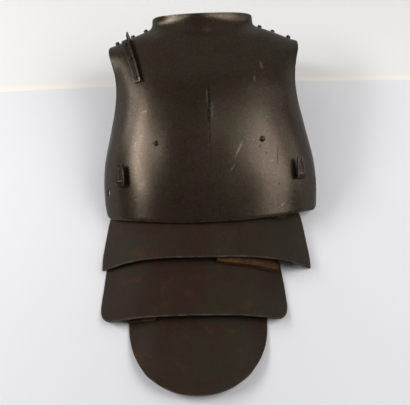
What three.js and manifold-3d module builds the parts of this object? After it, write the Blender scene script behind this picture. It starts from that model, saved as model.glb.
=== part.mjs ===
// A steel trench breastplate with three belly plates (tassets), lying on its back on a flat surface.
// Millimetres, +Z up, head end towards +Y. "Right" and "left" are the wearer's: the right side is at -X.
import * as THREE from "three";
import { mergeVertices } from "three/addons/utils/BufferGeometryUtils.js";
import Module from "manifold-3d";

const wasm = await Module();
wasm.setup();

// Driving sizes, common to all pieces
const PLATE = 3.3; // steel wall of every plate
const GAP = 0.3; // clearance between pieces that touch
const TILT = 25; // degrees that the breastplate leans back as it lies
const TURN = 3.1; // degrees that it is turned on the surface
const BREAST_PLACE = { x: 18, y: -46 }; // middle of its lower edge

// Breastplate
const BREAST_WIDTH = 430;
const BREAST_DEPTH = 122; // from the foremost point of the chest back to the side edges
const NECK_HEIGHT = 369; // foot of the collar above the lower edge, at the middle
const TIP_HEIGHT = 350.5; // the same for the shoulder tips, where the front turns over the shoulder
const BREAST_FLATNESS = 1.35; // 1 bends the sections evenly, more keeps their front flatter
const LOWER_EDGE_DROP = 20; // how far the middle of the lower edge hangs below its ends
const LOWER_CORNER = 48; // radius of the rounded lower corners
const COLLAR_WIDTH = 207;
const COLLAR_DEPTH = 60; // front of the rim back to its widest point
const COLLAR_RISE = 50; // rim above the foot of the collar
const COLLAR_SQUARENESS = 2.1; // exponent of the rim's plan curve: 2 is round
const EAR_RISE = 8; // how much higher the rim is where it is widest
const OVERHANG = 38; // rear edge of the shoulders behind the side edges

// Sections of the breastplate from the lower edge up. height is a share of the front's height,
// half_width of half the breast's width, front and side are setbacks as shares of its depth,
// and wrap is how far the section turns towards its side edge, in degrees.
const BREAST_SECTIONS = [
  { height: 0.0, half_width: 0.985, front: 0.08, side: 0.98, wrap: 85 },
  { height: 0.14, half_width: 1.0, front: 0.03, side: 1.0, wrap: 86 },
  { height: 0.32, half_width: 0.99, front: 0.0, side: 0.97, wrap: 84 },
  { height: 0.5, half_width: 0.925, front: 0.02, side: 0.9, wrap: 79 },
  { height: 0.68, half_width: 0.855, front: 0.09, side: 0.79, wrap: 70 },
  { height: 0.82, half_width: 0.84, front: 0.2, side: 0.76, wrap: 64 },
  { height: 0.93, half_width: 0.87, front: 0.33, side: 0.82, wrap: 60 },
  { height: 1.0, half_width: 0.9, front: 0.44, side: 0.9, wrap: 58 },
];

// Tassets, from the top one down. rise is the crown over the surface, in steps of one plate and one
// pad, counted from the lowest tasset; taper is the upper edge as a share of the lower one.
const PAD = 13; // thickness of the felt pads between the plates
const PAD_SLACK = 4; // room left over the pads
const LOWEST_RISE = 26; // crown of the lowest tasset over the surface
const TASSET_STEP = PLATE + PAD + PAD_SLACK;
const TASSET_ROUNDNESS = 3.7; // exponent of a tasset's section: 2 is a parabola, more is flatter
const TASSETS = {
  upper: { width: 405, height: 146, taper: 0.925, steps: 2, x: 3, y: -110, turn: 0.9,
    lower_corner: [12, 12], upper_corner: [30, 26], strap: 0.22, rows: 6, columns: 24 },
  middle: { width: 351, height: 156, taper: 0.93, steps: 1, x: -19, y: -215, turn: 1.2,
    lower_corner: [30, 24], upper_corner: [44, 40], strap: 0.23, rows: 7, columns: 22 },
  lower: { width: 256, height: 198, taper: 0.98, steps: 0, x: -12, y: -351, turn: 0,
    lower_corner: [125, 136], upper_corner: [28, 28], strap: 0.26, rows: 9, columns: 18 },
};

// Places on the breastplate are {side, rise}: from -1 at its right edge to 1 at its left edge, and
// from 0 at its lower edge to 1 at the rim and the shoulders' rear edge.
const CHEST_RIVETS = [{ side: -0.325, rise: 0.243 }, { side: 0.31, rise: 0.243 }];
const HOOKS = [{ side: -0.6, rise: 0.1135 }, { side: 0.581, rise: 0.1125 }];
const STRAP_HOLE = { side: -0.82, rise: 0.092, across: 12.5, tall: 12.5 };
const STRAP_SLOT = { side: 0.872, rise: 0.094, across: 8, tall: 29 };
const SHOULDER_RIVETS = [0.61, 0.765, 0.92]; // sides of the three in each shoulder
const SHOULDER_RIVET_RISE = 0.885;

// Shoulder plates: they hook behind, riveted under the shoulders
const SHOULDER_PLATE = { inner: 0.595, outer: 0.985, front: 0.8, corner: 26 };
const SHOULDER_SEAT = 2.3; // room between a shoulder and its plate
const SHOULDER_TAIL = 62; // length that lies on the surface

// Butt stop on the right shoulder: an angle iron whose flange is riveted down. Stations of the fin's
// foot and the flange's outer edge up the shoulder, with the fin's height and forward lean in mm.
const BUTT_STATIONS = [
  { rise: 0.458, fin: -0.598, flange: -0.686, height: 9, lean: 0 },
  { rise: 0.5, fin: -0.62, flange: -0.71, height: 10.5, lean: 0 },
  { rise: 0.55, fin: -0.647, flange: -0.742, height: 12, lean: 0 },
  { rise: 0.6, fin: -0.676, flange: -0.772, height: 14, lean: 0 },
  { rise: 0.66, fin: -0.705, flange: -0.801, height: 15.5, lean: 0 },
  { rise: 0.715, fin: -0.728, flange: -0.823, height: 16, lean: 0 },
  { rise: 0.765, fin: -0.745, flange: -0.838, height: 16, lean: 2 },
];
const BUTT_RIVETS = [
  { rise: 0.478, side: -0.662 },
  { rise: 0.563, side: -0.716 },
  { rise: 0.672, side: -0.77 },
];
const BUTT_PLATE = 3; // wall of the angle iron
const BUTT_SEAT = 0.9; // room under its flange

// Hooks for the side straps: a tongue bent up in front of the plate
const HOOK_TALL = 43;
const HOOK_WIDE = 21; // at the bend
const HOOK_TIP = 12; // width of the blunt tip
const HOOK_STEEL = 4;
const HOOK_THROAT = 9; // room behind the tongue

// Rivets: head and shank diameters and the rise of the head
const CHEST_STUD = { head: 12, shank: 6, rise: 4.5 };
const SHOULDER_STUD = { head: 11, shank: 5, rise: 6.5 };
const BUTT_STUD = { head: 7.5, shank: 4, rise: 2.6 };
const STRAP_STUD = { head: 9, shank: 5, rise: 2.6 };
const RIVET_SLACK = 0.6; // room left in the grip of every rivet

// Felt pads on each tasset. x is the middle of the pad across it, as a share of half the tasset's
// width, y is the same up it, as a share of its height, and length is a share of its width. turn is
// in degrees, and press is what the plate over it leaves of the pad's thickness.
const PAD_WIDE = 26;
const PAD_SEAT = 0.8; // room between a tasset and its pads
const PADS = [
  { name: "felt_upper_left", tasset: "upper", x: 0.435, y: 0.675, length: 0.301, turn: -2, press: 1 },
  { name: "felt_upper_right", tasset: "upper", x: -0.385, y: 0.726, length: 0.277, turn: 0, press: 1 },
  { name: "felt_middle_left", tasset: "middle", x: 0.553, y: 0.689, length: 0.322, turn: -4, press: 1 },
  { name: "felt_middle_right", tasset: "middle", x: -0.342, y: 0.82, length: 0.296, turn: 0, press: 0.6 },
  { name: "felt_lower_left", tasset: "lower", x: 0.609, y: 0.838, length: 0.234, turn: 3, press: 0.9 },
  { name: "felt_lower_right", tasset: "lower", x: -0.797, y: 0.74, length: 0.227, turn: -6, press: 0.8 },
];

// Webbing straps inside, one on each side, from the chest rivet down to the lowest tasset
const STRAP_WIDE = 38;
const STRAP_THICK = 2;
const STRAP_SEAT = 0.9; // room between a plate and the strap
const STRAP_HOLD = 10; // rivets below the upper edge of each tasset
const STRAP_RUN = 30; // length of strap lying on each tasset

const COLLAR_COLUMNS = 8; // columns of the grid in half the collar,
const EAR_COLUMNS = 4; // in the collar's side edge
const SHOULDER_COLUMNS = 7; // and over a shoulder
const FRONT_ROWS = 13;
const TURN_ROWS = 9;
const SMOOTHING = 10; // rounds of smoothing where the front turns into collar and shoulders

const rad = THREE.MathUtils.degToRad;
const lerp = THREE.MathUtils.lerp;
const clamp = THREE.MathUtils.clamp;
const vec = (x, y, z) => new THREE.Vector3(x, y, z);

// Smooth values between the rows of a table, read at a position in its first column.
function tableCurve(table) {
  const [at, ...columns] = Object.keys(table[0]);
  const positions = table.map((row) => row[at]);
  const samples = table.flatMap((row) => columns.map((column) => row[column]));
  const curve = new THREE.CubicInterpolant(positions, samples, columns.length);
  return (position) => {
    const values = curve.evaluate(position);
    return Object.fromEntries(columns.map((column, i) => [column, values[i]]));
  };
}

// Solids and booleans
function solidOf(geometry) {
  const bare = new THREE.BufferGeometry();
  bare.setAttribute("position", geometry.getAttribute("position"));
  bare.setIndex(geometry.getIndex());
  const merged = mergeVertices(bare, 1e-4);
  const vertProperties = merged.attributes.position.array;
  const triVerts = new Uint32Array(merged.index.array);
  return new wasm.Manifold(new wasm.Mesh({ numProp: 3, vertProperties, triVerts }));
}

function geometryOf(solid) {
  const mesh = solid.getMesh();
  const geometry = new THREE.BufferGeometry();
  geometry.setAttribute("position", new THREE.BufferAttribute(mesh.vertProperties, 3));
  geometry.setIndex(new THREE.BufferAttribute(mesh.triVerts, 1));
  geometry.computeVertexNormals();
  return geometry;
}

const subtractAll = (geometry, cutters) =>
  geometryOf(cutters.reduce((solid, cutter) => solid.subtract(solidOf(cutter)), solidOf(geometry)));
const union = (...geometries) => geometryOf(wasm.Manifold.union(geometries.map(solidOf)));

// Outward normals of a grid of points whose rows run up and whose columns run to +X.
function gridNormals(grid) {
  const rows = grid.length;
  const columns = grid[0].length;
  const at = (i, j) => grid[clamp(i, 0, rows - 1)][clamp(j, 0, columns - 1)];
  return grid.map((row, i) =>
    row.map((_, j) => {
      const across = at(i, j + 1).clone().sub(at(i, j - 1));
      const up = at(i + 1, j).clone().sub(at(i - 1, j));
      return across.cross(up).normalize();
    }),
  );
}

function offsetGrid(grid, distance) {
  const normals = gridNormals(grid);
  return grid.map((row, i) => row.map((point, j) => point.clone().addScaledVector(normals[i][j], distance)));
}

// A sheet of even thickness whose outer face is the grid.
function shell(grid, thickness) {
  const columns = grid[0].length;
  const last = (grid.length - 1) * columns;
  const points = [...grid.flat(), ...offsetGrid(grid, -thickness).flat()];
  const behind = points.length / 2;
  const index = [];
  const quad = (a, b, c, d) => index.push(a, b, c, a, c, d);
  for (let i = 0; i < grid.length - 1; i++)
    for (let j = 0; j < columns - 1; j++) {
      const corner = i * columns + j;
      const ring = [corner, corner + 1, corner + columns + 1, corner + columns];
      quad(...ring);
      quad(...ring.map((k) => k + behind).reverse());
    }
  const border = [];
  for (let j = 0; j < columns - 1; j++) border.push(j);
  for (let i = 0; i < grid.length - 1; i++) border.push(i * columns + columns - 1);
  for (let j = columns - 1; j > 0; j--) border.push(last + j);
  for (let i = grid.length - 1; i > 0; i--) border.push(i * columns);
  border.forEach((a, k) => {
    const b = border[(k + 1) % border.length];
    quad(b, a, a + behind, b + behind);
  });
  const geometry = new THREE.BufferGeometry().setFromPoints(points);
  geometry.setIndex(index);
  geometry.computeVertexNormals();
  return geometry;
}

// How far a rounded corner keeps its edge in, at a distance from the corner along the other edge.
function cornerInset(distance, along, across) {
  const share = clamp(1 - distance / along, 0, 1);
  return across * (1 - Math.sqrt(1 - share * share));
}

// A map from a grid (s from -1 to 1, t from 0 to 1) to a flat outline, half a sheet wide on each
// side, whose corners are quarter ellipses given as [along, up].
function outlineMap(half, height, lower, upper) {
  const MIDDLE = 1 - Math.SQRT1_2; // the middle of a rounded corner is the corner of the grid
  const edge = (s, corner) => {
    const a = s * (half - MIDDLE * corner[0]);
    return [a, cornerInset(half - Math.abs(a), ...corner)];
  };
  const side = (t) => {
    const b = lerp(MIDDLE * lower[1], height - MIDDLE * upper[1], t);
    const low = cornerInset(b, lower[1], lower[0]);
    const high = cornerInset(height - b, upper[1], upper[0]);
    return [half - low - high, b];
  };
  const [lowHalf, lowRise] = side(0);
  const [highHalf, highRise] = side(1);
  return (s, t) => {
    const [lowA, lowB] = edge(s, lower);
    const [highA, highInset] = edge(s, upper);
    const [sideA, sideB] = side(t);
    const a = lerp(lowA, highA, t) + s * (sideA - lerp(lowHalf, highHalf, t));
    const b = lerp(lowB, height - highInset, t) + sideB - lerp(lowRise, highRise, t);
    return [a, b];
  };
}

// A solid through closed rings of points, capped at both ends by the triangles of its section. The
// section goes anticlockwise as seen from where the rings run to.
function loft(rings, section) {
  const count = rings[0].length;
  const last = (rings.length - 1) * count;
  const index = [];
  for (let i = 0; i < rings.length - 1; i++)
    for (let k = 0; k < count; k++) {
      const a = i * count + k;
      const b = i * count + ((k + 1) % count);
      index.push(a, b, b + count, a, b + count, a + count);
    }
  for (const [a, b, c] of THREE.ShapeUtils.triangulateShape(section, [])) {
    index.push(c, b, a);
    index.push(last + a, last + b, last + c);
  }
  const geometry = new THREE.BufferGeometry().setFromPoints(rings.flat());
  geometry.setIndex(index);
  geometry.computeVertexNormals();
  return geometry;
}

function material(color, roughness, metalness) {
  return new THREE.MeshStandardMaterial({ color, roughness, metalness });
}
const paintedSteel = () => material(0x3a342d, 0.5, 0.6);
const felt = () => material(0x5a3a22, 0.95, 0);
const webbing = () => material(0x6f6148, 0.95, 0);

function piece(name, geometry, surface, parent) {
  const mesh = new THREE.Mesh(geometry, surface);
  mesh.name = name;
  parent.add(mesh);
  return mesh;
}

// A frame standing on a face: its Y runs out along the normal and its Z up along the face.
function faceFrame({ point, normal, up }) {
  const across = normal.clone().cross(up).normalize();
  const along = across.clone().cross(normal);
  return new THREE.Matrix4().makeBasis(across, normal, along).setPosition(point);
}

// Breastplate: the front, up to the line where it turns over the shoulders and into the collar
const sectionAt = tableCurve(BREAST_SECTIONS);
const halfBreast = BREAST_WIDTH / 2;

function frontPoint(u, q) {
  const section = sectionAt(clamp(q, 0, 1));
  const full = rad(section.wrap);
  const angle = Math.abs(u) * full;
  const across = Math.sin(angle) / Math.sin(full);
  const back = ((1 - Math.cos(angle)) / (1 - Math.cos(full))) ** BREAST_FLATNESS;
  const lift = LOWER_EDGE_DROP * (1 - q) * across ** 2;
  return vec(
    Math.sign(u) * across * section.half_width * halfBreast,
    q * lerp(NECK_HEIGHT, TIP_HEIGHT, across ** 1.5) + lift,
    -BREAST_DEPTH * lerp(section.front, section.side, back),
  );
}

const topSection = BREAST_SECTIONS.at(-1);
const rimHeight = NECK_HEIGHT + COLLAR_RISE;
const rimFront = BREAST_DEPTH * (topSection.front + 0.05);
const rearEdge = BREAST_DEPTH * topSection.side + OVERHANG;
const rearTip = vec(halfBreast * topSection.half_width, TIP_HEIGHT + 30, -rearEdge);
const rearNeck = vec(COLLAR_WIDTH / 2 + 4, NECK_HEIGHT + 38, -rearEdge);
const collarSpan = Math.asin((COLLAR_WIDTH / 2 / rearTip.x) * Math.sin(rad(topSection.wrap))) /
  rad(topSection.wrap);
const earSpan = collarSpan + 0.15;

// The upper edge of the breastplate, from the middle of the collar out to the shoulder tip, and the
// direction in which the sheet runs out to it.
function upperEdge(side, sign) {
  const up = vec(0, 1, 0.12).normalize();
  const rearward = vec(0, -0.2, -1).normalize();
  const mirror = vec(sign, 1, 1);
  const widest = vec(COLLAR_WIDTH / 2, rimHeight + EAR_RISE, -rimFront - COLLAR_DEPTH);
  if (side <= collarSpan) {
    const turn = (side / collarSpan) * (Math.PI / 2);
    const power = 2 / COLLAR_SQUARENESS;
    const x = widest.x * Math.sin(turn) ** power;
    const back = COLLAR_DEPTH * (1 - Math.max(Math.cos(turn), 0) ** power);
    const lift = EAR_RISE * (x / widest.x) ** 2;
    return { point: vec(x, rimHeight + lift, -rimFront - back).multiply(mirror), direction: up };
  }
  if (side <= earSpan) {
    const share = (side - collarSpan) / (earSpan - collarSpan);
    const bend = vec(widest.x, lerp(rearNeck.y, widest.y, 0.45), lerp(rearNeck.z, widest.z, 0.35));
    const point = new THREE.QuadraticBezierCurve3(widest, bend, rearNeck).getPoint(share);
    return { point: point.multiply(mirror), direction: up.lerp(rearward, share ** 0.5).normalize() };
  }
  const share = (side - earSpan) / (1 - earSpan);
  return { point: rearNeck.clone().lerp(rearTip, share).multiply(mirror), direction: rearward };
}

// Columns of the grid, from -1 at one side edge to 1 at the other.
function breastColumns() {
  const half = [];
  for (let j = 0; j < COLLAR_COLUMNS; j++) half.push((collarSpan * j) / COLLAR_COLUMNS);
  for (let j = 0; j < EAR_COLUMNS; j++) half.push(lerp(collarSpan, earSpan, j / EAR_COLUMNS));
  for (let j = 0; j <= SHOULDER_COLUMNS; j++) half.push(lerp(earSpan, 1, j / SHOULDER_COLUMNS));
  return [...half.slice(1).reverse().map((s) => -s), ...half];
}

function breastGrid() {
  const columns = breastColumns();
  const corner = [LOWER_CORNER / halfBreast, LOWER_CORNER / NECK_HEIGHT];
  const outline = outlineMap(1, 1, corner, [1e-6, 1e-6]);
  const grid = [];
  for (let i = 0; i <= FRONT_ROWS; i++)
    grid.push(columns.map((s) => frontPoint(...outline(s, i / FRONT_ROWS))));
  const curves = columns.map((s, j) => {
    const start = grid[FRONT_ROWS][j];
    const along = start.clone().sub(grid[FRONT_ROWS - 1][j]).normalize();
    const { point, direction } = upperEdge(Math.abs(s), Math.sign(s) || 1);
    const reach = start.distanceTo(point) * 0.42;
    const leave = start.clone().addScaledVector(along, reach);
    const arrive = point.clone().addScaledVector(direction, -reach);
    return new THREE.CubicBezierCurve3(start, leave, arrive, point);
  });
  for (let i = 1; i <= TURN_ROWS; i++) grid.push(curves.map((curve) => curve.getPoint(i / TURN_ROWS)));
  return smoothed(grid, FRONT_ROWS - 2, SMOOTHING);
}

// The grid with its inner points, from a row up, drawn towards the middle of their neighbours.
function smoothed(grid, firstRow, rounds) {
  let points = grid;
  for (let round = 0; round < rounds; round++)
    points = points.map((row, i) =>
      row.map((point, j) => {
        if (i < firstRow || i === grid.length - 1 || j === 0 || j === row.length - 1) return point;
        const middle = row[j - 1].clone().add(row[j + 1]).add(points[i - 1][j]).add(points[i + 1][j]);
        return point.clone().lerp(middle.divideScalar(4), 0.5);
      }),
    );
  return points;
}

const armour = new THREE.Group();
const breastTurn = new THREE.Group();
breastTurn.position.set(BREAST_PLACE.x, BREAST_PLACE.y, 0);
breastTurn.rotation.z = rad(TURN);
armour.add(breastTurn);
const breast = new THREE.Group();
breast.rotation.x = rad(TILT);
breastTurn.add(breast);

// The plates lie on the surface at z = 0.
function floorLift(object) {
  armour.updateMatrixWorld(true);
  return -new THREE.Box3().setFromObject(object, true).min.z;
}

const breastFace = breastGrid();
const breastNormals = gridNormals(breastFace);

function gridSample(grid, side, rise) {
  const rows = grid.length - 1;
  const columns = grid[0].length - 1;
  const row = clamp(rise * rows, 0, rows);
  const column = clamp(((side + 1) / 2) * columns, 0, columns);
  const i = Math.min(Math.floor(row), rows - 1);
  const j = Math.min(Math.floor(column), columns - 1);
  const low = grid[i][j].clone().lerp(grid[i][j + 1], column - j);
  const high = grid[i + 1][j].clone().lerp(grid[i + 1][j + 1], column - j);
  return low.lerp(high, row - i);
}

// A place on the breastplate, raised from its outer face, with the normal and the way up.
function onBreast({ side, rise }, height = 0) {
  const normal = gridSample(breastNormals, side, rise).normalize();
  const point = gridSample(breastFace, side, rise).addScaledVector(normal, height);
  const up = gridSample(breastFace, side, rise + 0.02).sub(gridSample(breastFace, side, rise - 0.02));
  return { point, normal, up: up.normalize() };
}

// A round or long hole, cut along a place's normal.
function holeCutter(place, across, tall, depth = 40) {
  const shape = new THREE.Shape();
  const straight = (tall - across) / 2;
  shape.absarc(0, straight, across / 2, 0, Math.PI, false);
  shape.absarc(0, -straight, across / 2, Math.PI, 2 * Math.PI, false);
  const options = { depth, bevelEnabled: false, curveSegments: 5 };
  const geometry = new THREE.ExtrudeGeometry(shape, options).translate(0, 0, -depth / 2);
  return geometry.rotateX(-Math.PI / 2).applyMatrix4(faceFrame(place));
}

// A rivet as one solid: domed head on the face, shank, and a flat head behind the grip.
function rivetGeometry({ head, shank, rise }, grip, place) {
  const tail = -grip - RIVET_SLACK;
  const profile = [
    [0, tail - 1.5],
    [shank * 0.8, tail - 1.5],
    [shank * 0.8, tail],
    [shank / 2, tail],
    [shank / 2, GAP],
    [head / 2, GAP],
    [head * 0.38, rise * 0.7],
    [0, rise],
  ];
  const points = profile.map(([radius, y]) => new THREE.Vector2(radius, y));
  return geometryOf(solidOf(new THREE.LatheGeometry(points, 8))).applyMatrix4(faceFrame(place));
}

// A six-sided hole that clears the rivet's shank.
function rivetHole(rivet, place) {
  const radius = (rivet.shank / 2 + GAP) / Math.cos(Math.PI / 6);
  return new THREE.CylinderGeometry(radius, radius, 30, 6).applyMatrix4(faceFrame(place));
}
const strapGrip = PLATE + STRAP_SEAT + STRAP_THICK;

const chestPlaces = CHEST_RIVETS.map((place) => onBreast(place));
const shoulderPlaces = [-1, 1].map((sign) =>
  SHOULDER_RIVETS.map((side) => onBreast({ side: side * sign, rise: SHOULDER_RIVET_RISE })),
);
const buttPlaces = BUTT_RIVETS.map((place) => onBreast(place));
const hookPlaces = HOOKS.map((place) => onBreast(place));
const tenonWide = HOOK_WIDE * 0.65;

const breastCuts = [
  ...chestPlaces.map((place) => rivetHole(CHEST_STUD, place)),
  ...shoulderPlaces.flat().map((place) => rivetHole(SHOULDER_STUD, place)),
  ...buttPlaces.map((place) => rivetHole(BUTT_STUD, place)),
  ...hookPlaces.map((place) =>
    new THREE.BoxGeometry(tenonWide + 2 * GAP, 40, HOOK_STEEL + 2 * GAP).applyMatrix4(faceFrame(place))),
  ...[STRAP_HOLE, STRAP_SLOT].map((hole) => holeCutter(onBreast(hole), hole.across, hole.tall)),
];
const breastShell = subtractAll(shell(breastFace, PLATE), breastCuts);
const breastplate = piece("breastplate", breastShell, paintedSteel(), breast);
const breastHeight = floorLift(breastplate);
breastTurn.position.z = breastHeight;

const SIDES = ["right", "left"];
const sideName = (sign) => SIDES[sign < 0 ? 0 : 1];

chestPlaces.forEach((place, k) => {
  const rivet = rivetGeometry(CHEST_STUD, strapGrip, place);
  piece(`chest_rivet_${SIDES[k]}`, rivet, paintedSteel(), breast);
});

// Hooks: a strip from inside the plate out through its slot, bent up, with a tapering tongue
function hookGeometry(place) {
  const foot = HOOK_STEEL / 2;
  const tongue = GAP + HOOK_THROAT + foot;
  const path = [
    { out: -PLATE - 2 * GAP - 1, up: 0, half: tenonWide / 2 },
    { out: GAP * 2, up: 0, half: tenonWide / 2 },
    { out: GAP * 2 + 0.1, up: 0, half: HOOK_WIDE * 0.42 },
    { out: tongue - 4, up: 0, half: HOOK_WIDE * 0.42 },
    { out: tongue - 1, up: 1, half: HOOK_WIDE * 0.42 },
    { out: tongue, up: 4, half: HOOK_WIDE * 0.47 },
    { out: tongue, up: 9, half: HOOK_WIDE * 0.5 },
    { out: tongue, up: HOOK_TALL * 0.55, half: HOOK_WIDE * 0.41 },
    { out: tongue, up: HOOK_TALL - 7, half: HOOK_TIP * 0.58 },
    { out: tongue, up: HOOK_TALL - 3.2, half: HOOK_TIP * 0.45 },
    { out: tongue, up: HOOK_TALL - 2, half: HOOK_TIP * 0.28 },
  ];
  const rings = path.map(({ out, up, half }, k) => {
    const before = path[Math.max(k - 1, 0)];
    const after = path[Math.min(k + 1, path.length - 1)];
    const slope = new THREE.Vector2(after.out - before.out, after.up - before.up).normalize();
    const side = new THREE.Vector2(-slope.y, slope.x).multiplyScalar(foot);
    return [
      vec(-half, out + side.x, up + side.y),
      vec(half, out + side.x, up + side.y),
      vec(half, out - side.x, up - side.y),
      vec(-half, out - side.x, up - side.y),
    ];
  });
  const section = [[-1, -1], [1, -1], [1, 1], [-1, 1]].map(([x, y]) => new THREE.Vector2(x, y));
  const strip = loft(rings, section);
  const peened = new THREE.BoxGeometry(tenonWide + 4, 2, HOOK_STEEL + 4);
  peened.translate(0, -PLATE - 2 * GAP - 1, 0);
  return union(strip, peened).applyMatrix4(faceFrame(place));
}
hookPlaces.forEach((place, k) =>
  piece(`hook_${SIDES[k]}`, hookGeometry(place), paintedSteel(), breast));

// Butt stop
function buttStopGeometry() {
  const rings = BUTT_STATIONS.map(({ rise, fin, flange, height, lean }) => {
    const foot = onBreast({ side: fin, rise });
    const middle = onBreast({ side: (fin + flange) / 2, rise });
    const edge = onBreast({ side: flange, rise });
    const lift = (place, distance) => place.point.clone().addScaledVector(place.normal, distance);
    const inward = edge.point.clone().sub(foot.point).setLength(BUTT_PLATE);
    const forward = foot.up.clone().multiplyScalar(lean);
    const low = BUTT_SEAT;
    const high = low + BUTT_PLATE;
    return [
      lift(foot, low),
      lift(middle, low),
      lift(edge, low),
      lift(edge, high),
      lift(middle, high),
      lift(foot, high).add(inward),
      lift(foot, height).add(forward).add(inward),
      lift(foot, height).add(forward),
    ];
  });
  const section = [[0, 0], [2, 0], [4, 0], [4, 1], [2, 1], [1, 1], [1, 4], [0, 4]];
  return loft(rings, section.map(([x, y]) => new THREE.Vector2(x, y)));
}
const buttLift = BUTT_PLATE + BUTT_SEAT;
const buttHoles = buttPlaces.map((place) => rivetHole(BUTT_STUD, place));
piece("butt_stop", subtractAll(buttStopGeometry(), buttHoles), paintedSteel(), breast);
BUTT_RIVETS.forEach((spot, k) => {
  const place = onBreast(spot, buttLift);
  piece(`butt_rivet_${k + 1}`, rivetGeometry(BUTT_STUD, buttLift + PLATE, place), paintedSteel(), breast);
});

// Draws the last points of the columns in towards the middle, to round the two corners there.
function roundTail(columns, radius) {
  const last = columns[0].length - 1;
  const middle = (row) => columns[0][row].clone().lerp(columns.at(-1)[row], 0.5);
  for (let row = last; row > 0; row--) {
    const distance = middle(row).distanceTo(middle(last));
    if (distance >= radius) return;
    const centre = middle(row);
    const half = centre.distanceTo(columns[0][row]);
    const inset = cornerInset(distance, radius, radius);
    for (const column of columns) column[row].lerp(centre, inset / half);
  }
}

// Shoulder plates: they follow the inside of the shoulder, run back and down past its rear edge and
// end on the surface.
function shoulderPlateGrid(sign) {
  const ROWS_UNDER = 4;
  const BEHIND = [0.18, 0.36, 0.54, 0.7, 0.83, 0.93, 1];
  const COLUMNS = 5;
  const tilt = new THREE.Matrix4().makeRotationX(rad(TILT));
  const columns = [];
  for (let j = 0; j <= COLUMNS; j++) {
    const side = lerp(SHOULDER_PLATE.inner, SHOULDER_PLATE.outer, j / COLUMNS) * sign;
    const under = [];
    for (let i = 0; i <= ROWS_UNDER; i++) {
      const rise = lerp(SHOULDER_PLATE.front, 1, i / ROWS_UNDER);
      under.push(onBreast({ side, rise }, -PLATE - SHOULDER_SEAT).point.applyMatrix4(tilt));
    }
    const start = under.at(-1);
    const along = start.clone().sub(under.at(-2)).normalize();
    const height = start.z + breastHeight;
    const leaving = start.clone().addScaledVector(along, height * 0.5);
    const landing = vec(start.x, start.y + height * 0.1, -breastHeight);
    const end = landing.clone();
    end.y = start.y + height * 0.1 - SHOULDER_TAIL * 1.4;
    const curve = new THREE.CubicBezierCurve3(start, leaving, landing, end);
    columns.push([...under, ...BEHIND.map((share) => curve.getPoint(share))]);
  }
  roundTail(columns, SHOULDER_PLATE.corner);
  if (sign < 0) columns.reverse();
  return columns[0].map((_, i) => columns.map((column) => column[i]));
}
[-1, 1].forEach((sign, k) => {
  const grid = shoulderPlateGrid(sign);
  const back = new THREE.Matrix4().makeRotationX(-rad(TILT));
  const geometry = shell(grid, PLATE).applyMatrix4(back);
  const holes = shoulderPlaces[k].map((place) => rivetHole(SHOULDER_STUD, place));
  piece(`shoulder_plate_${sideName(sign)}`, subtractAll(geometry, holes), paintedSteel(), breast);
  shoulderPlaces[k].forEach((place, n) => {
    const geometry = rivetGeometry(SHOULDER_STUD, 2 * PLATE + SHOULDER_SEAT, place);
    piece(`shoulder_rivet_${sideName(sign)}_${n + 1}`, geometry, paintedSteel(), breast);
  });
});

// Tassets
const tassetRise = (tasset) => LOWEST_RISE + tasset.steps * TASSET_STEP;

// Outer face of a tasset over its plan: x across and y up from its lower edge.
function tassetPoint(tasset, x, y) {
  const half = (tasset.width / 2) * lerp(1, tasset.taper, y / tasset.height);
  return vec(x, y, tassetRise(tasset) * (1 - Math.min(Math.abs(x) / half, 1) ** TASSET_ROUNDNESS));
}

function tassetGrid(tasset) {
  const half = tasset.width / 2;
  const outline = outlineMap(half, tasset.height, tasset.lower_corner, tasset.upper_corner);
  const grid = [];
  for (let i = 0; i <= tasset.rows; i++) {
    const row = [];
    for (let j = 0; j <= tasset.columns; j++) {
      const [x, y] = outline((2 * j) / tasset.columns - 1, i / tasset.rows);
      row.push(tassetPoint(tasset, x * lerp(1, tasset.taper, y / tasset.height), y));
    }
    grid.push(row);
  }
  return grid;
}

// A place on a tasset, raised from its outer face.
function onTasset(tasset, x, y, height = 0) {
  const point = tassetPoint(tasset, x, y);
  const across = tassetPoint(tasset, x + 1, y).sub(tassetPoint(tasset, x - 1, y));
  const up = tassetPoint(tasset, x, y + 1).sub(tassetPoint(tasset, x, y - 1)).normalize();
  const normal = across.cross(up).normalize();
  return { point: point.addScaledVector(normal, height), normal, up };
}

// Middle of a strap on a tasset, in the tasset's own frame.
const strapAcross = (tasset, sign) => sign * tasset.strap * tasset.width;

let lastPlate = breast.getObjectByName("breastplate"); // each plate laps over the next
for (const [name, tasset] of Object.entries(TASSETS)) {
  const group = new THREE.Group();
  group.position.set(tasset.x, tasset.y, 0);
  group.rotation.z = rad(tasset.turn);
  armour.add(group);
  tasset.group = group;
  const places = [-1, 1].map((sign) =>
    onTasset(tasset, strapAcross(tasset, sign), tasset.height - STRAP_HOLD));
  const holes = places.map((place) => rivetHole(STRAP_STUD, place));
  const geometry = subtractAll(shell(tassetGrid(tasset), PLATE), holes);
  const mesh = piece(`tasset_${name}`, geometry, paintedSteel(), group);
  group.position.z = floorLift(mesh);
  tasset.plateOver = lastPlate;
  lastPlate = mesh;
  places.forEach((place, k) => {
    const rivet = rivetGeometry(STRAP_STUD, strapGrip, place);
    piece(`strap_rivet_${name}_${SIDES[k]}`, rivet, paintedSteel(), group);
  });
}

// Room for a pad over a place on a tasset, up to the plate that laps over it.
function roomOver(tasset, place) {
  const start = place.point.clone().applyMatrix4(tasset.group.matrixWorld);
  const way = place.normal.clone().transformDirection(tasset.group.matrixWorld);
  const [hit] = new THREE.Raycaster(start, way, 0, 2 * PAD).intersectObject(tasset.plateOver);
  return hit ? hit.distance - PAD_SEAT - 2 * GAP : PAD;
}

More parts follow.
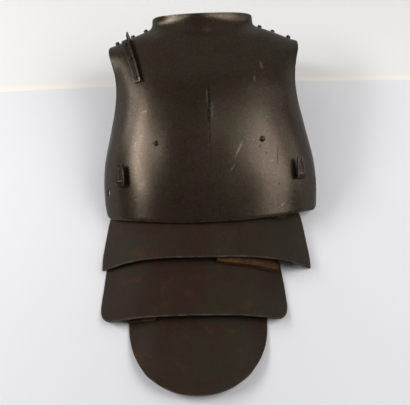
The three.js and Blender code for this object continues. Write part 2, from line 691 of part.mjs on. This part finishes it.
// Felt pads, lying on the outer faces of the tassets
function padGeometry(tasset, pad) {
  const ROWS = 2;
  const COLUMNS = 8;
  const length = pad.length * tasset.width;
  const round = [PAD_WIDE * 0.42, PAD_WIDE * 0.42];
  const outline = outlineMap(length / 2, PAD_WIDE, round, round);
  const turn = rad(pad.turn);
  const spots = [];
  for (let i = 0; i <= ROWS; i++)
    for (let j = 0; j <= COLUMNS; j++) {
      const [a, b] = outline((2 * j) / COLUMNS - 1, i / ROWS);
      const up = b - PAD_WIDE / 2;
      const x = (pad.x * tasset.width) / 2 + a * Math.cos(turn) - up * Math.sin(turn);
      const y = pad.y * tasset.height + a * Math.sin(turn) + up * Math.cos(turn);
      spots.push([x, y]);
    }
  const room = Math.min(...spots.map(([x, y]) => roomOver(tasset, onTasset(tasset, x, y))));
  const thickness = Math.min(PAD * pad.press, room);
  const face = spots.map(([x, y]) => onTasset(tasset, x, y, PAD_SEAT + thickness).point);
  const grid = [];
  for (let i = 0; i <= ROWS; i++) grid.push(face.slice(i * (COLUMNS + 1), (i + 1) * (COLUMNS + 1)));
  return shell(grid, thickness);
}
armour.updateMatrixWorld(true);
for (const pad of PADS) {
  const tasset = TASSETS[pad.tasset];
  piece(pad.name, padGeometry(tasset, pad), felt(), tasset.group);
}

// Straps: across the band at each station, along the inside of each plate and across between them
function strapGeometry(sign, k) {
  const CELLS = 2;
  const BRIDGE = 4;
  const depth = -PLATE - STRAP_SEAT;
  armour.updateMatrixWorld(true);
  const lines = [];
  for (let j = 0; j <= CELLS; j++) {
    const aside = (j / CELLS - 0.5) * STRAP_WIDE;
    const runs = [];
    const turned = breast.matrixWorld;
    const inside = [];
    for (const step of [0.055, 0.03, 0, -0.025]) {
      const { side, rise } = CHEST_RIVETS[k];
      const x = onBreast({ side, rise: rise + step }).point.x + aside;
      inside.push(underBreast(x, side, rise + step, depth).applyMatrix4(turned));
    }
    runs.push(inside);
    for (const tasset of Object.values(TASSETS)) {
      const x = strapAcross(tasset, sign) + aside;
      const run = [];
      for (const fall of [-3, STRAP_HOLD * 0.5, STRAP_HOLD, STRAP_RUN]) {
        const place = onTasset(tasset, x, tasset.height - fall, depth);
        run.push(place.point.applyMatrix4(tasset.group.matrixWorld));
      }
      runs.push(run);
    }
    const line = [...runs[0]];
    for (let r = 1; r < runs.length; r++) {
      const leave = runs[r - 1].at(-1);
      const leaveWay = leave.clone().sub(runs[r - 1].at(-2)).normalize();
      const arrive = runs[r][0];
      const arriveWay = runs[r][1].clone().sub(arrive).normalize();
      const reach = leave.distanceTo(arrive) * 0.35;
      const bridge = new THREE.CubicBezierCurve3(
        leave,
        leave.clone().addScaledVector(leaveWay, reach),
        arrive.clone().addScaledVector(arriveWay, -reach),
        arrive,
      );
      for (let i = 1; i < BRIDGE; i++) line.push(bridge.getPoint(i / BRIDGE));
      line.push(...runs[r]);
    }
    lines.push(line);
  }
  const rows = lines[0].map((_, i) => lines.map((line) => line[i])).reverse();
  return shell(rows, STRAP_THICK);
}

// The inside of the breastplate at a distance x from its middle.
function underBreast(x, side, rise, depth) {
  let low = side - 0.2;
  let high = side + 0.2;
  for (let i = 0; i < 24; i++) {
    const middle = (low + high) / 2;
    if (onBreast({ side: middle, rise }).point.x < x) low = middle;
    else high = middle;
  }
  return onBreast({ side: (low + high) / 2, rise }, depth).point;
}

[-1, 1].forEach((sign, k) => {
  const inBreast = (place) => ({
    point: place.point.clone().applyMatrix4(breast.matrixWorld),
    normal: place.normal.clone().transformDirection(breast.matrixWorld),
    up: place.up.clone().transformDirection(breast.matrixWorld),
  });
  const geometry = strapGeometry(sign, k);
  const cuts = [rivetHole(CHEST_STUD, inBreast(chestPlaces[k]))];
  for (const tasset of Object.values(TASSETS)) {
    const place = onTasset(tasset, strapAcross(tasset, sign), tasset.height - STRAP_HOLD);
    cuts.push(rivetHole(STRAP_STUD, place).applyMatrix4(tasset.group.matrixWorld));
  }
  piece(`strap_${sideName(sign)}`, subtractAll(geometry, cuts), webbing(), armour);
});

// The origin is under the middle of the whole, on the surface.
armour.updateMatrixWorld(true);
const bounds = new THREE.Box3().setFromObject(armour, true);
const middle = bounds.getCenter(vec(0, 0, 0));
armour.position.set(-middle.x, -middle.y, -bounds.min.z);

export default armour;
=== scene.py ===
import math

import bmesh
import bpy
from mathutils import Matrix, Vector, kdtree, noise


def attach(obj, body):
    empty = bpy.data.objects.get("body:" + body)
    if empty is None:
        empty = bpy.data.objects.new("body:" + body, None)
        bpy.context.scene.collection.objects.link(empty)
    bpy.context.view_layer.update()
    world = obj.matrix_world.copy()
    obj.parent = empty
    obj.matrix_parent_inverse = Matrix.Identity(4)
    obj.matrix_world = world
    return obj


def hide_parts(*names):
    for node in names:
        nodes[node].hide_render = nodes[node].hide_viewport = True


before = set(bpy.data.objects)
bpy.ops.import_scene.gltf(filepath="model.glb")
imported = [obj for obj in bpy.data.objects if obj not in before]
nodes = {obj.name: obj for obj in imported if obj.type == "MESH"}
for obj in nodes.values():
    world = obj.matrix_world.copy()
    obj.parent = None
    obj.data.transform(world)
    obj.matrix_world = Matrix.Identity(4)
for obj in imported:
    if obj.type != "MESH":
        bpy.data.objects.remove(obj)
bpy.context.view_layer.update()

# The frame's nodes by piece
BREAST_STEEL = [name for name in nodes if name.startswith(("breastplate", "shoulder_plate"))]
TASSETS = [name for name in nodes if name.startswith("tasset")]
HOOKS = [name for name in nodes if name.startswith("hook")]
RIVETS = [name for name in nodes if "rivet" in name]
PADS = [name for name in nodes if name.startswith("felt_")]
STRAPS = [name for name in nodes if name.startswith("strap_") and name not in RIVETS]

# Shapes of the finished pieces
WELD = 1e-5
RIM_ANGLE = math.radians(50)  # edges sharper than this are rims
PLATE_ROUND = 0.0008  # rounding of a plate's rim
FITTING_ROUND = 0.0005
PLATE_WEAR = 0.006  # how far from a rim its wear reaches
FITTING_WEAR = 0.0014
HOLE_RING = 0.09  # a ring of rim edges shorter than this belongs to a hole
SAME_HOLE = 0.008
CUTTER_REACH = 0.02
BUCKLE = 0.0009  # how far the old plates are out of true
BUCKLE_SPAN = 0.075
HOOK_BORDER = 0.0042  # raised border of a hook's tongue
HOOK_SUNK = 0.0019
HOOK_ROUND = 0.0011

# The fold down the middle of the chest: where it lies, how much the left half turns away, in what
# length the turn fades out, and the heights between which it is strongest
FOLD_X = -0.0035
FOLD_TURN = 0.06
FOLD_FADE = 0.055
FOLD_Y = (0.01, 0.085, 0.15, 0.21)
FOLD_WAY = Vector((0, -0.4, 0.92))

# The fuller middle of the hollow between chest and collar
THROAT = Vector((-0.021, 0.312))
THROAT_WIDE = 0.045
THROAT_LONG = 0.02
THROAT_WAY = Vector((0, -0.006, 0.006))


# Meshes
def copied(node):
    """A node's mesh with its loose triangles merged."""
    bm = bmesh.new()
    bm.from_mesh(nodes[node].data)
    bmesh.ops.remove_doubles(bm, verts=bm.verts, dist=WELD)
    return bm


def rim_edges(bm, angle=RIM_ANGLE):
    return [e for e in bm.edges if len(e.link_faces) == 2 and e.calc_face_angle() > angle]


def connected(edges):
    """The edges in their connected groups."""
    left = set(edges)
    groups = []
    while left:
        group = [left.pop()]
        for edge in group:
            for vert in edge.verts:
                found = [e for e in vert.link_edges if e in left]
                left.difference_update(found)
                group.extend(found)
        groups.append(group)
    return groups


def close_holes(bm):
    """Closes the holes through a plate. Gives the corners of each strap hole's ring."""
    rings = []
    ringed = set()
    for group in connected(rim_edges(bm)):
        if sum(e.calc_length() for e in group) > HOLE_RING:
            continue
        verts = {v for e in group for v in e.verts}
        ringed.update(verts)
        if len(verts) == len(group):
            rings.append([v.co.copy() for v in verts])
    walls = [f for f in bm.faces if all(v in ringed for v in f.verts)]
    bmesh.ops.delete(bm, geom=walls, context="FACES_ONLY")
    bmesh.ops.delete(bm, geom=[e for e in bm.edges if not e.link_faces], context="EDGES")
    open_edges = [e for e in bm.edges if e.is_boundary]
    bmesh.ops.holes_fill(bm, edges=open_edges, sides=0)
    bmesh.ops.dissolve_verts(bm, verts=[v for v in ringed if v.is_valid])
    many = [f for f in bm.faces if len(f.verts) > 4]
    bmesh.ops.triangulate(bm, faces=many, quad_method="BEAUTY", ngon_method="BEAUTY")
    return rings


def middle_of(points):
    return sum(points, Vector()) / len(points)


def squared(bm):
    """Joins the triangles of each pair back to a four-sided face."""
    bmesh.ops.join_triangles(
        bm, faces=bm.faces, angle_face_threshold=math.radians(30), angle_shape_threshold=math.radians(60))


def crease_rims(bm, value=1.0, angle=RIM_ANGLE):
    layer = bm.edges.layers.float.new("crease_edge")
    for edge in rim_edges(bm, angle):
        edge[layer] = value


def object_of(bm, name):
    mesh = bpy.data.meshes.new(name)
    bm.to_mesh(mesh)
    bm.free()
    made = bpy.data.objects.new(name, mesh)
    bpy.context.scene.collection.objects.link(made)
    return made


def applied(made):
    """The object with its modifiers applied."""
    dg = bpy.context.evaluated_depsgraph_get()
    mesh = bpy.data.meshes.new_from_object(made.evaluated_get(dg))
    made.modifiers.clear()
    made.data = mesh
    mesh.shade_smooth()
    return made


def subdivided(made, levels):
    smooth = made.modifiers.new("smooth", "SUBSURF")
    smooth.levels = smooth.render_levels = levels
    return applied(made)


def round_rims(made, width):
    rim = made.modifiers.new("rim", "BEVEL")
    rim.width = width
    rim.segments = 2
    rim.limit_method = "ANGLE"
    rim.angle_limit = math.radians(40)
    return applied(made)


def long_hole(points):
    """A clean long or round outline of the size of a ring's corners, and the way through it."""
    middle = middle_of(points)
    far = max(points, key=lambda p: (p - middle).length) - middle
    along = far.normalized()
    other = max(points, key=lambda p: (p - middle).cross(along).length) - middle
    way = along.cross(other).normalized()
    side = way.cross(along)
    radius = max(abs((p - middle).dot(side)) for p in points)
    straight = max(far.length - radius, 0.0)
    outline = []
    for step in range(32):
        turn = (step + 0.5) / 32 * 2 * math.pi
        end = straight if math.cos(turn) > 0 else -straight
        outline.append(middle + along * (end + radius * math.cos(turn)) + side * radius * math.sin(turn))
    return outline, way


def cut_hole(made, points):
    """Cuts a hole through a plate, of the size and place of the ring's corners."""
    outline, way = long_hole(points)
    bm = bmesh.new()
    face = bm.faces.new([bm.verts.new(point - way * CUTTER_REACH / 2) for point in outline])
    pushed = bmesh.ops.extrude_face_region(bm, geom=[face])["geom"]
    far_side = [v for v in pushed if isinstance(v, bmesh.types.BMVert)]
    bmesh.ops.translate(bm, verts=far_side, vec=way * CUTTER_REACH)
    bmesh.ops.recalc_face_normals(bm, faces=bm.faces)
    cutter = object_of(bm, "cutter")
    difference = made.modifiers.new("hole", "BOOLEAN")
    difference.operation = "DIFFERENCE"
    difference.solver = "EXACT"
    difference.object = cutter
    applied(made)
    bpy.data.objects.remove(cutter)
    return made


def mark_rims(made, reach):
    """Writes how near each point is to a rim, from 1 on the rim to 0 where its wear ends."""
    bm = bmesh.new()
    bm.from_mesh(made.data)
    on_rim = {v for e in rim_edges(bm, math.radians(20)) for v in e.verts}
    tree = kdtree.KDTree(max(len(on_rim), 1))
    for vert in on_rim:
        tree.insert(vert.co, vert.index)
    tree.balance()
    near = [max(0.0, 1 - tree.find(v.co)[2] / reach) if on_rim else 0.0 for v in bm.verts]
    bm.free()
    attribute = made.data.attributes.new("rim", "FLOAT", "POINT")
    attribute.data.foreach_set("value", near)


def out_of_true(made):
    """Buckles a plate very slightly, as hammered and dropped steel is."""
    for vert in made.data.vertices:
        vert.co += noise.noise_vector(vert.co / BUCKLE_SPAN) * BUCKLE


def rises(value, low, high):
    share = min(max((value - low) / (high - low), 0.0), 1.0)
    return share * share * (3 - 2 * share)


def fold_chest(made):
    """Folds the chest very slightly along its middle line."""
    bottom, low, high, top = FOLD_Y
    for vert in made.data.vertices:
        beside = vert.co.x - FOLD_X
        if beside > 0:
            strength = rises(vert.co.y, bottom, low) * (1 - rises(vert.co.y, high, top))
            vert.co -= FOLD_WAY * strength * FOLD_TURN * beside * math.exp(-beside / FOLD_FADE)


def raise_throat(made):
    """Lifts the middle of the hollow below the collar a little."""
    for vert in made.data.vertices:
        across = (vert.co.x - THROAT.x) / THROAT_WIDE
        along = (vert.co.y - THROAT.y) / THROAT_LONG
        vert.co += THROAT_WAY * math.exp(-across * across - along * along)


def sink_tongue(bm):
    """Sinks the front of a hook's tongue inside a raised border."""
    bm.normal_update()
    facing = [f for f in bm.faces if f.normal.z > 0.3]
    out = max(facing, key=lambda f: f.calc_area()).normal.copy()
    foremost = max(v.co.dot(out) for v in bm.verts)
    front = [f for f in facing if f.normal.dot(out) > 0.97]
    front = [f for f in front if f.calc_center_median().dot(out) > foremost - 5e-4]
    joined = bmesh.ops.dissolve_faces(bm, faces=front)["region"]
    bmesh.ops.inset_region(bm, faces=joined, thickness=HOOK_BORDER, use_even_offset=True)
    bmesh.ops.inset_region(bm, faces=joined, thickness=4e-4, depth=-HOOK_SUNK, use_even_offset=True)


def dressed(made, node, finish):
    """Gives a finished piece its material and lets it stand for its node."""
    made.data.materials.clear()
    made.data.materials.append(finish)
    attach(made, "root")
    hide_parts(node)
    return made


# Shader nodes
def shader_node(tree, kind, inputs=None, **settings):
    made = tree.nodes.new(kind)
    for key, value in settings.items():
        setattr(made, key, value)
    for key, value in (inputs or {}).items():
        if isinstance(value, bpy.types.NodeSocket):
            tree.links.new(value, made.inputs[key])
        else:
            made.inputs[key].default_value = value
    return made


def maths(tree, operation, *values, clamp=False):
    inputs = dict(enumerate(values))
    made = shader_node(tree, "ShaderNodeMath", inputs, operation=operation, use_clamp=clamp)
    return made.outputs[0]


def between(tree, value, low, high):
    """0 below low, 1 above high, and smooth between them."""
    made = shader_node(
        tree, "ShaderNodeMapRange", {"Value": value, "From Min": low, "From Max": high},
        interpolation_type="SMOOTHSTEP")
    return made.outputs["Result"]


def mixed(tree, share, a, b, blend="MIX"):
    inputs = {0: share, 6: a, 7: b}
    made = shader_node(tree, "ShaderNodeMix", data_type="RGBA", blend_type=blend)
    for key, value in inputs.items():
        if isinstance(value, bpy.types.NodeSocket):
            tree.links.new(value, made.inputs[key])
        else:
            made.inputs[key].default_value = value
    return made.outputs[2]


def clouds(tree, place, scale, detail=4.0, roughness=0.55, distortion=0.0):
    made = shader_node(
        tree, "ShaderNodeTexNoise",
        {"Vector": place, "Scale": scale, "Detail": detail, "Roughness": roughness, "Distortion": distortion})
    return made.outputs["Fac"]


def bumped(tree, height, strength, distance, normal=None):
    inputs = {"Height": height, "Strength": strength, "Distance": distance}
    if normal:
        inputs["Normal"] = normal
    return shader_node(tree, "ShaderNodeBump", inputs).outputs[0]


def mark(tree, place, x, y, length, width, turn):
    """1 in the middle of a long mark on the front, 0 outside it. Millimetres and degrees."""
    mapped = shader_node(
        tree, "ShaderNodeMapping",
        {"Vector": place, "Location": (x / 1000, y / 1000, 0), "Rotation": (0, 0, math.radians(turn)),
         "Scale": (width / 2000, length / 2000, 1000)},
        vector_type="TEXTURE")
    far = shader_node(tree, "ShaderNodeVectorMath", {0: mapped.outputs[0]}, operation="LENGTH")
    return between(tree, far.outputs["Value"], 1.0, 0.35)


def marks_on(tree, place, marks):
    """All the marks of a table as one mask, each as strong as its row says."""
    mask = None
    for x, y, length, width, turn, strength in marks:
        one = maths(tree, "MULTIPLY", mark(tree, place, x, y, length, width, turn), strength)
        mask = maths(tree, "MAXIMUM", mask, one) if mask else one
    return mask


def new_material(name):
    made = bpy.data.materials.new(name)
    made.use_nodes = True
    tree = made.node_tree
    tree.nodes.clear()
    out = tree.nodes.new("ShaderNodeOutputMaterial")
    surface = tree.nodes.new("ShaderNodeBsdfPrincipled")
    tree.links.new(surface.outputs[0], out.inputs[0])
    place = shader_node(tree, "ShaderNodeTexCoord").outputs["Object"]
    return made, tree, surface, place


def colour(red, green, blue):
    """A colour given as it looks on screen, from 0 to 255."""
    def linear(value):
        share = value / 255
        return share / 12.92 if share <= 0.04045 else ((share + 0.055) / 1.055) ** 2.4
    return (linear(red), linear(green), linear(blue), 1.0)


# Marks on the breastplate: x, y, length and width in mm, turn in degrees, strength
LIGHT_MARKS = [
    (-7, 146, 44, 7, 4, 0.3),
    (2, 120, 46, 6, -2, 0.3),
    (-127, 128, 3, 22, -4, 0.5),
    (52, 52, 44, 5, -28, 0.45),
    (40, 20, 24, 4, -34, 0.35),
    (98, 224, 26, 9, 8, 0.35),
    (84, 190, 20, 7, 4, 0.28),
    (136, -30, 12, 3, -40, 0.7),
]
# Near-black marks: the scars' own dark, together with painted shade where the dents and the crease lie
DARK_SCAR_AND_DENT_SHADE_MARKS = [
    (-4, 142, 60, 7, 1, 0.95),
    (-4, 112, 44, 10, -2, 0.9),
    (-3, 84, 60, 6, 0, 0.7),
    (-1, 40, 80, 5, 0, 0.4),
    (126, 52, 52, 1.8, -2, 0.85),
    (92, 60, 10, 7, 20, 0.6),
    (104, 50, 8, 6, 0, 0.55),
    (114, 56, 7, 5, 0, 0.5),
    (128, 2, 6, 3.5, 0, 0.85),
]

RUST = colour(58, 32, 17)
SCUFF = colour(130, 122, 112)
# Near-black: dark scars and painted shade of dents
DARK_SCAR_AND_DENT_SHADE = colour(6, 5, 4)
BARE = colour(150, 142, 134)


def painted_steel(name, tones, rust, rough_share, metal, ior, wear, specked, marked=False):
    """Old satin paint on steel: mottled olive to purple brown, flecked, scuffed, and worn at the rims."""
    made, tree, surface, place = new_material(name)
    broad = clouds(tree, place, 11, 3, 0.5, 0.6)
    middle = clouds(tree, place, 38, 5, 0.6, 0.5)
    olive, brown, purple = tones
    tone = mixed(tree, between(tree, broad, 0.34, 0.66), brown, olive)
    clouded = maths(tree, "MULTIPLY", between(tree, middle, 0.42, 0.75), 0.55)
    tone = mixed(tree, clouded, tone, purple)
    rusty = maths(tree, "MULTIPLY", between(tree, clouds(tree, place, 26, 6, 0.6), 0.54, 0.74), rust)
    tone = mixed(tree, rusty, tone, RUST)

    grain = clouds(tree, place, 900, 3, 0.7)
    pitting = clouds(tree, place, 320, 4, 0.65)
    shade = maths(tree, "MULTIPLY_ADD", clouds(tree, place, 230, 4, 0.7), 0.7, 0.65)
    tone = mixed(tree, 1.0, tone, shade, "MULTIPLY")
    specks = clouds(tree, place, 430, 2, 0.6)
    flecks = maths(tree, "MULTIPLY", between(tree, specks, 0.56, 0.74), specked)
    tone = mixed(tree, flecks, tone, SCUFF)
    height = maths(tree, "MULTIPLY_ADD", grain, 0.6, pitting)

    rough = maths(tree, "MULTIPLY_ADD", clouds(tree, place, 75, 5, 0.65), 0.14, rough_share - 0.07)
    rough = maths(tree, "MULTIPLY_ADD", grain, 0.06, rough)
    surface.inputs["Metallic"].default_value = metal
    if marked:
        torn = between(tree, clouds(tree, place, 420, 4, 0.75), 0.4, 0.6)
        light = maths(tree, "MULTIPLY", marks_on(tree, place, LIGHT_MARKS), torn)
        half_torn = maths(tree, "MULTIPLY_ADD", torn, 0.7, 0.3)
        # Dark scars plus painted shade of the dents: near-black colour, and metallic raised there so they
        # reflect nothing either
        scar_and_dent_shade = maths(tree, "MULTIPLY", marks_on(tree, place, DARK_SCAR_AND_DENT_SHADE_MARKS), half_torn)
        tone = mixed(tree, light, tone, SCUFF)
        tone = mixed(tree, scar_and_dent_shade, tone, DARK_SCAR_AND_DENT_SHADE)
        rough = maths(tree, "MULTIPLY_ADD", light, 0.2, rough)
        tree.links.new(maths(tree, "MULTIPLY_ADD", scar_and_dent_shade, 1 - metal, metal), surface.inputs["Metallic"])
        height = maths(tree, "MULTIPLY_ADD", scar_and_dent_shade, -1.6, height)

    rim = shader_node(tree, "ShaderNodeAttribute", attribute_name="rim").outputs["Fac"]
    patchy = between(tree, clouds(tree, place, 55, 5, 0.7), 0.4, 0.62)
    patchy = maths(tree, "MULTIPLY", maths(tree, "MULTIPLY_ADD", patchy, 0.8, 0.2), wear)
    worn = maths(tree, "MULTIPLY", between(tree, rim, 0.55, 1.0), patchy)
    tone = mixed(tree, worn, tone, BARE)

    tree.links.new(tone, surface.inputs["Base Color"])
    tree.links.new(rough, surface.inputs["Roughness"])
    surface.inputs["IOR"].default_value = ior
    surface.inputs["Specular Tint"].default_value = (0.4, 0.4, 0.4, 1)
    tree.links.new(bumped(tree, height, 0.34, 0.0003), surface.inputs["Normal"])
    return made


def felt_finish():
    """Thick cut felt: rust brown with ochre grains, matt, with a soft nap."""
    made, tree, surface, place = new_material("felt_finish")
    matted = between(tree, clouds(tree, place, 90, 5, 0.7, 0.6), 0.35, 0.65)
    tone = mixed(tree, matted, colour(42, 25, 12), colour(62, 40, 20))
    grains = shader_node(tree, "ShaderNodeTexVoronoi", {"Vector": place, "Scale": 900.0}, feature="F1")
    tone = mixed(tree, between(tree, grains.outputs["Distance"], 0.35, 0.05), tone, colour(104, 70, 34))
    dirt = between(tree, clouds(tree, place, 300, 4, 0.7), 0.5, 0.7)
    tone = mixed(tree, maths(tree, "MULTIPLY", dirt, 0.6), tone, colour(24, 15, 9))
    surface.inputs["Roughness"].default_value = 0.95
    surface.inputs["Sheen Weight"].default_value = 0.03
    surface.inputs["IOR"].default_value = 1.25
    surface.inputs["Sheen Roughness"].default_value = 0.6
    surface.inputs["Sheen Tint"].default_value = colour(150, 110, 70)
    tree.links.new(tone, surface.inputs["Base Color"])
    height = maths(tree, "ADD", clouds(tree, place, 500, 5, 0.75, 0.8), clouds(tree, place, 1500, 3, 0.7))
    tree.links.new(bumped(tree, height, 0.9, 0.0006), surface.inputs["Normal"])
    return made


def webbing_finish():
    """Flat woven cotton: fine ribs across the strap, crossed by its warp threads."""
    made, tree, surface, place = new_material("webbing_finish")
    weave = shader_node(tree, "ShaderNodeAttribute", attribute_name="weave").outputs["Vector"]
    parts = shader_node(tree, "ShaderNodeSeparateXYZ", {0: weave})
    ribs = maths(tree, "SINE", maths(tree, "MULTIPLY", parts.outputs["Y"], 2 * math.pi / 0.0016))
    threads = maths(tree, "SINE", maths(tree, "MULTIPLY", parts.outputs["X"], 2 * math.pi / 0.0011))
    height = maths(tree, "MULTIPLY_ADD", maths(tree, "MULTIPLY", ribs, threads), 0.5, ribs)
    faded = between(tree, clouds(tree, place, 120, 5, 0.7), 0.35, 0.65)
    tone = mixed(tree, faded, colour(92, 80, 56), colour(124, 108, 78))
    # Painted shade: the low parts of the weave are drawn darker, as if shaded in their grooves
    groove_shade = maths(tree, "MULTIPLY", between(tree, height, 0.2, -1.2), 0.7)
    tone = mixed(tree, groove_shade, tone, colour(52, 44, 32))
    surface.inputs["Roughness"].default_value = 0.9
    surface.inputs["Sheen Weight"].default_value = 0.15
    tree.links.new(tone, surface.inputs["Base Color"])
    tree.links.new(bumped(tree, height, 0.8, 0.0004), surface.inputs["Normal"])
    return made


BREAST_TONES = (colour(45, 39, 28), colour(46, 36, 26), colour(48, 37, 32))
TASSET_TONES = (colour(31, 27, 18), colour(33, 20, 13), colour(34, 24, 20))
FITTING_TONES = (colour(42, 34, 26), colour(40, 30, 24), colour(42, 31, 27))
breast_finish = painted_steel(
    "painted_steel_breast", BREAST_TONES, 0.08, 0.25, 0.65, 1.62, 0.12, 0.16, marked=True)
tasset_finish = painted_steel("painted_steel_tassets", TASSET_TONES, 0.45, 0.56, 0.0, 1.22, 0.1, 0.03)
fitting_finish = painted_steel("painted_steel_fittings", FITTING_TONES, 0.1, 0.28, 0.65, 1.5, 0.3, 0.1)
felt = felt_finish()
webbing = webbing_finish()


# The pieces
def make_plate(node, finish, fold=False):
    bm = copied(node)
    rings = close_holes(bm)
    squared(bm)
    crease_rims(bm)
    made = subdivided(object_of(bm, node + "_dressed"), 2)
    out_of_true(made)
    if fold:
        fold_chest(made)
        raise_throat(made)
    done = []
    for ring in rings:
        middle = middle_of(ring)
        if all((middle - other).length > SAME_HOLE for other in done):
            done.append(middle)
            cut_hole(made, ring)
    round_rims(made, PLATE_ROUND)
    mark_rims(made, PLATE_WEAR)
    return dressed(made, node, finish)


def make_fitting(node, levels=2):
    bm = copied(node)
    squared(bm)
    if node in HOOKS:
        sink_tongue(bm)
    crease_rims(bm)
    made = subdivided(object_of(bm, node + "_dressed"), levels)
    round_rims(made, HOOK_ROUND if node in HOOKS else FITTING_ROUND)
    mark_rims(made, FITTING_WEAR)
    return dressed(made, node, fitting_finish)


def make_pad(node):
    """A felt pad: soft cut edges and an uneven, matted face."""
    bm = copied(node)
    squared(bm)
    crease_rims(bm, 0.62, math.radians(40))
    made = subdivided(object_of(bm, node + "_dressed"), 4)
    outward = [vert.normal.copy() for vert in made.data.vertices]
    for vert, out in zip(made.data.vertices, outward):
        lumps = noise.noise(vert.co / 0.02) * 0.0005 + noise.noise(vert.co / 0.0035) * 0.0003
        vert.co += out * (lumps - 0.0004)
    dressed(made, node, felt)
    return made


def make_strap(node):
    bm = copied(node)
    squared(bm)
    crease_rims(bm, 0.7)
    made = subdivided(object_of(bm, node + "_dressed"), 2)
    weave = made.data.attributes.new("weave", "FLOAT_VECTOR", "POINT")
    along = [component for vert in made.data.vertices for component in (vert.co.x, vert.co.y, 0.0)]
    weave.data.foreach_set("vector", along)
    return dressed(made, node, webbing)


for node in BREAST_STEEL:
    make_plate(node, breast_finish, fold=node == "breastplate")
for node in TASSETS:
    make_plate(node, tasset_finish)
for node in ["butt_stop"] + HOOKS + RIVETS:
    make_fitting(node)
for node in PADS:
    make_pad(node)
for node in STRAPS:
    make_strap(node)


# Floor, light and camera
def make_stage():
    """A pale table with a pale board behind, whose seam runs behind the shoulders; painted shade darkens it
    towards the front, and far off it glows as painted light.
    """
    bm = bmesh.new()
    bmesh.ops.create_grid(bm, x_segments=1, y_segments=1, size=30)
    floor = object_of(bm, "floor")
    made, tree, surface, place = new_material("floor_finish")
    parts = shader_node(tree, "ShaderNodeSeparateXYZ", {0: place})
    x = parts.outputs["X"]
    bend = maths(tree, "MULTIPLY", maths(tree, "MULTIPLY", x, x), -0.0345)
    seam = maths(tree, "ADD", maths(tree, "MULTIPLY_ADD", x, 0.0374, 0.3275), bend)
    behind = maths(tree, "SUBTRACT", parts.outputs["Y"], seam)
    tone = mixed(tree, between(tree, behind, -0.002, 0.002), colour(186, 185, 187), colour(200, 194, 184))
    tone = mixed(tree, between(tree, behind, 0.004, 0.022), tone, colour(190, 189, 187))
    # Painted shade: the table darkens towards the front, standing in for the lamps' light falling off
    front = between(tree, behind, -0.15, -0.75)
    tone = mixed(tree, front, tone, colour(176, 175, 177))
    surface.inputs["Roughness"].default_value = 0.6
    # Painted light: far from the piece the floor turns black and glows pale instead, a glowing backdrop that
    # also gives fill light
    distance = shader_node(tree, "ShaderNodeVectorMath", {0: place}, operation="LENGTH").outputs["Value"]
    far = between(tree, distance, 0.8, 2.2)
    tone = mixed(tree, far, tone, (0, 0, 0, 1))
    surface.inputs["Emission Color"].default_value = (0.78, 0.78, 0.785, 1)
    tree.links.new(far, surface.inputs["Emission Strength"])
    tree.links.new(tone, surface.inputs["Base Color"])
    floor.data.materials.append(made)


LOOK_AT = Vector((-0.01122, -0.0262, 0.0766))
CAMERA_ELEVATION = math.radians(60)
CAMERA_DISTANCE = 1.292


def make_camera():
    data = bpy.data.cameras.new("camera")
    data.lens = 60
    data.sensor_width = 36
    camera = bpy.data.objects.new("camera", data)
    bpy.context.scene.collection.objects.link(camera)
    back = Vector((0, -math.cos(CAMERA_ELEVATION), math.sin(CAMERA_ELEVATION)))
    camera.location = LOOK_AT + back * CAMERA_DISTANCE
    camera.rotation_euler = (-back).to_track_quat("-Z", "Y").to_euler()
    bpy.context.scene.camera = camera


def softbox(name, bearing, elevation, roll, distance, width, height, radiance):
    """A soft light seen from the chest at a bearing (0 at the head, 90 at the left) and elevation."""
    bearing, elevation = math.radians(bearing), math.radians(elevation)
    level = math.cos(elevation)
    way = Vector((level * math.sin(bearing), level * math.cos(bearing), math.sin(elevation)))
    data = bpy.data.lights.new(name, "AREA")
    data.shape = "RECTANGLE"
    data.size = width
    data.size_y = height
    data.energy = radiance * math.pi * width * height
    light = bpy.data.objects.new(name, data)
    light.location = Vector((0, 0.05, 0.1)) + way * distance
    turned = (-way).to_track_quat("-Z", "Y").to_matrix() @ Matrix.Rotation(math.radians(roll), 3, "Z")
    light.rotation_euler = turned.to_euler()
    light.visible_camera = False
    bpy.context.scene.collection.objects.link(light)


make_stage()
make_camera()
softbox("wall_low", 0, 12, 0, 2.4, 5.6, 1.0, 0.75)
softbox("wall_high", 0, 45, 0, 2.4, 4.8, 1.6, 0.36)
softbox("left_strip", -81, 37, 60, 2.4, 3.3, 0.4, 9)
softbox("left_box", -98, 37, 5, 2.4, 1.5, 0.45, 23)
softbox("right_wall", 89, 42, 18, 2.4, 1.45, 4.0, 2.3)
softbox("right_box", 108, 47, 60, 2.4, 1.7, 1.24, 6.4)
world = bpy.data.worlds.new("room")
world.use_nodes = True
seen = shader_node(world.node_tree, "ShaderNodeLightPath").outputs["Is Camera Ray"]
strength = maths(world.node_tree, "MULTIPLY_ADD", seen, 0.73, 0.05)
world.node_tree.links.new(strength, world.node_tree.nodes["Background"].inputs[1])
world.node_tree.nodes["Background"].inputs[0].default_value = (1, 0.98, 0.97, 1)
bpy.context.scene.world = world
bpy.context.scene.view_settings.view_transform = "Standard"
